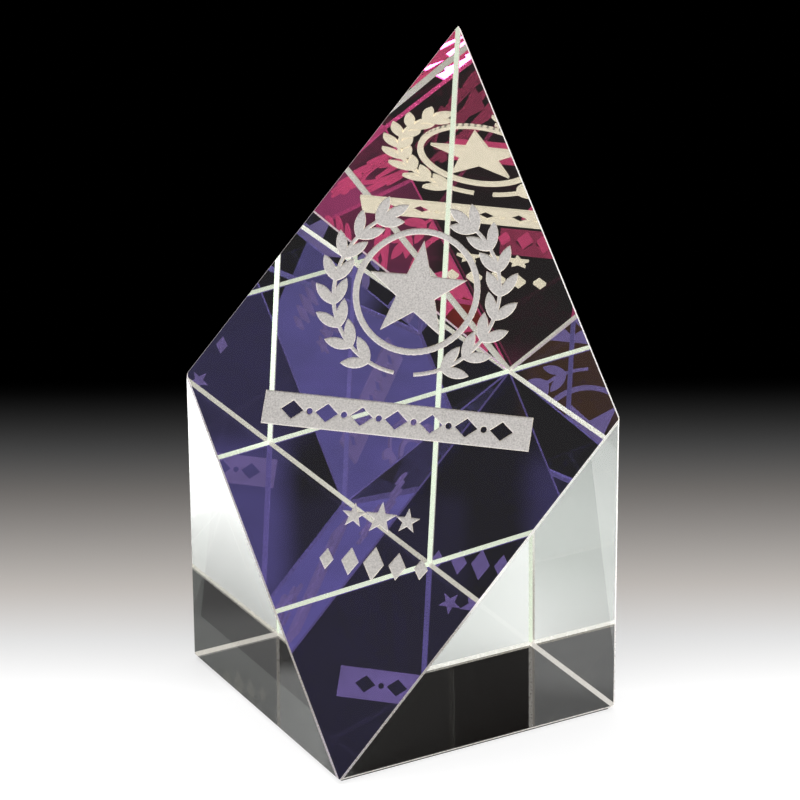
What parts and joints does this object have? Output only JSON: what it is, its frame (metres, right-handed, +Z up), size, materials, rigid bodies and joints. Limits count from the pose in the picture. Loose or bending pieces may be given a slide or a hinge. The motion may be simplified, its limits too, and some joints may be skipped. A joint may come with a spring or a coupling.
{
  "type": "crystal award",
  "caption": "Square column of clear optical crystal with one slanted facet, a colour-coated base and frosted star, laurel, banner and ornament marks.",
  "frame": {"origin": "centre of the square base, on the surface that the award stands on", "axes": "+Z up along the column's axis, -Y towards the front edge at the foot of the slanted facet, +X to the right of someone facing the award"},
  "size_m": [0.1066, 0.1068, 0.152],
  "materials": {
    "optical_crystal": "polished optical crystal, refractive index about 1.6, faintly green in depth",
    "colour_coat": "dichroic mirror coat that turns from magenta and orange seen straight on to blue-violet at a slant",
    "black_backing": "matt black protective film",
    "frosted_fill": "fine-grained warm grey frosted paint in sand-carved marks"
  },
  "bodies": {
    "root": {"crystal_block": "optical_crystal", "base_colour_coat": "colour_coat", "base_backing": "black_backing", "emblem_star": "frosted_fill", "emblem_ring": "frosted_fill", "laurel_right": "frosted_fill", "laurel_left": "frosted_fill", "banner_bar": "frosted_fill", "star_row": "frosted_fill", "lozenge_row": "frosted_fill"}
  },
  "joints": []
}
